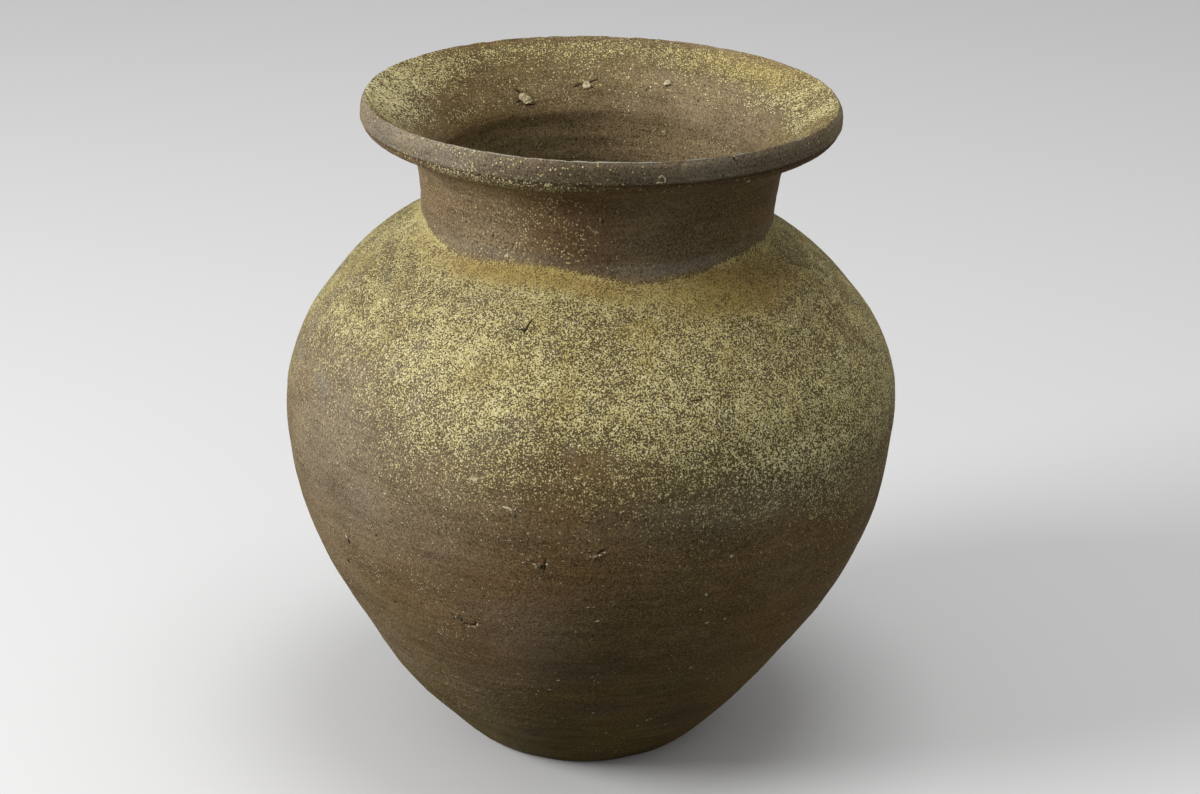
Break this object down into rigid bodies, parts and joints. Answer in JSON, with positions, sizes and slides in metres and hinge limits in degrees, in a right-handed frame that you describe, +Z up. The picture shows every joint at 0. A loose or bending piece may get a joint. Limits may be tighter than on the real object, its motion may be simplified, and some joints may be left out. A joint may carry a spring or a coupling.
{
  "type": "stoneware jar",
  "caption": "Wide-mouthed stoneware jar with a narrow flat foot, a swelling shoulder, a short collar and an everted rolled rim; stands upright and holds dry or wet stores.",
  "frame": {"origin": "centre of the flat underside of the foot", "axes": "+Z up from the foot to the mouth, +X to the viewer's right, towards which the mouth leans, -Y towards the viewer"},
  "size_m": [0.302, 0.302, 0.3322],
  "materials": {
    "foot_clay": "matte fired clay, olive brown",
    "lower_clay": "matte fired clay, dark brown with fine grit",
    "belly_clay": "matte fired clay, pinkish brown with fine grit",
    "ash_clay": "matte fired clay under a dry speckle of yellow-green kiln ash",
    "collar_clay": "matte fired clay, purplish brown",
    "rim_clay": "matte fired clay, grey brown with ash inside the flare and a worn pale lip",
    "pale_grit": "rough pale grit"
  },
  "bodies": {
    "root": {"base_slab": "foot_clay", "foot_wall": "foot_clay", "lower_wall": "lower_clay", "belly_wall": "belly_clay", "upper_wall": "belly_clay", "shoulder_wall": "ash_clay", "neck_collar": "collar_clay", "everted_rim": "rim_clay", "kiln_crumb_left": "pale_grit", "kiln_crumb_middle": "pale_grit", "kiln_crumb_right": "pale_grit", "grit_stone_left": "pale_grit", "grit_stone_upper": "pale_grit", "grit_stone_middle": "pale_grit", "grit_stone_right": "pale_grit"}
  },
  "joints": []
}
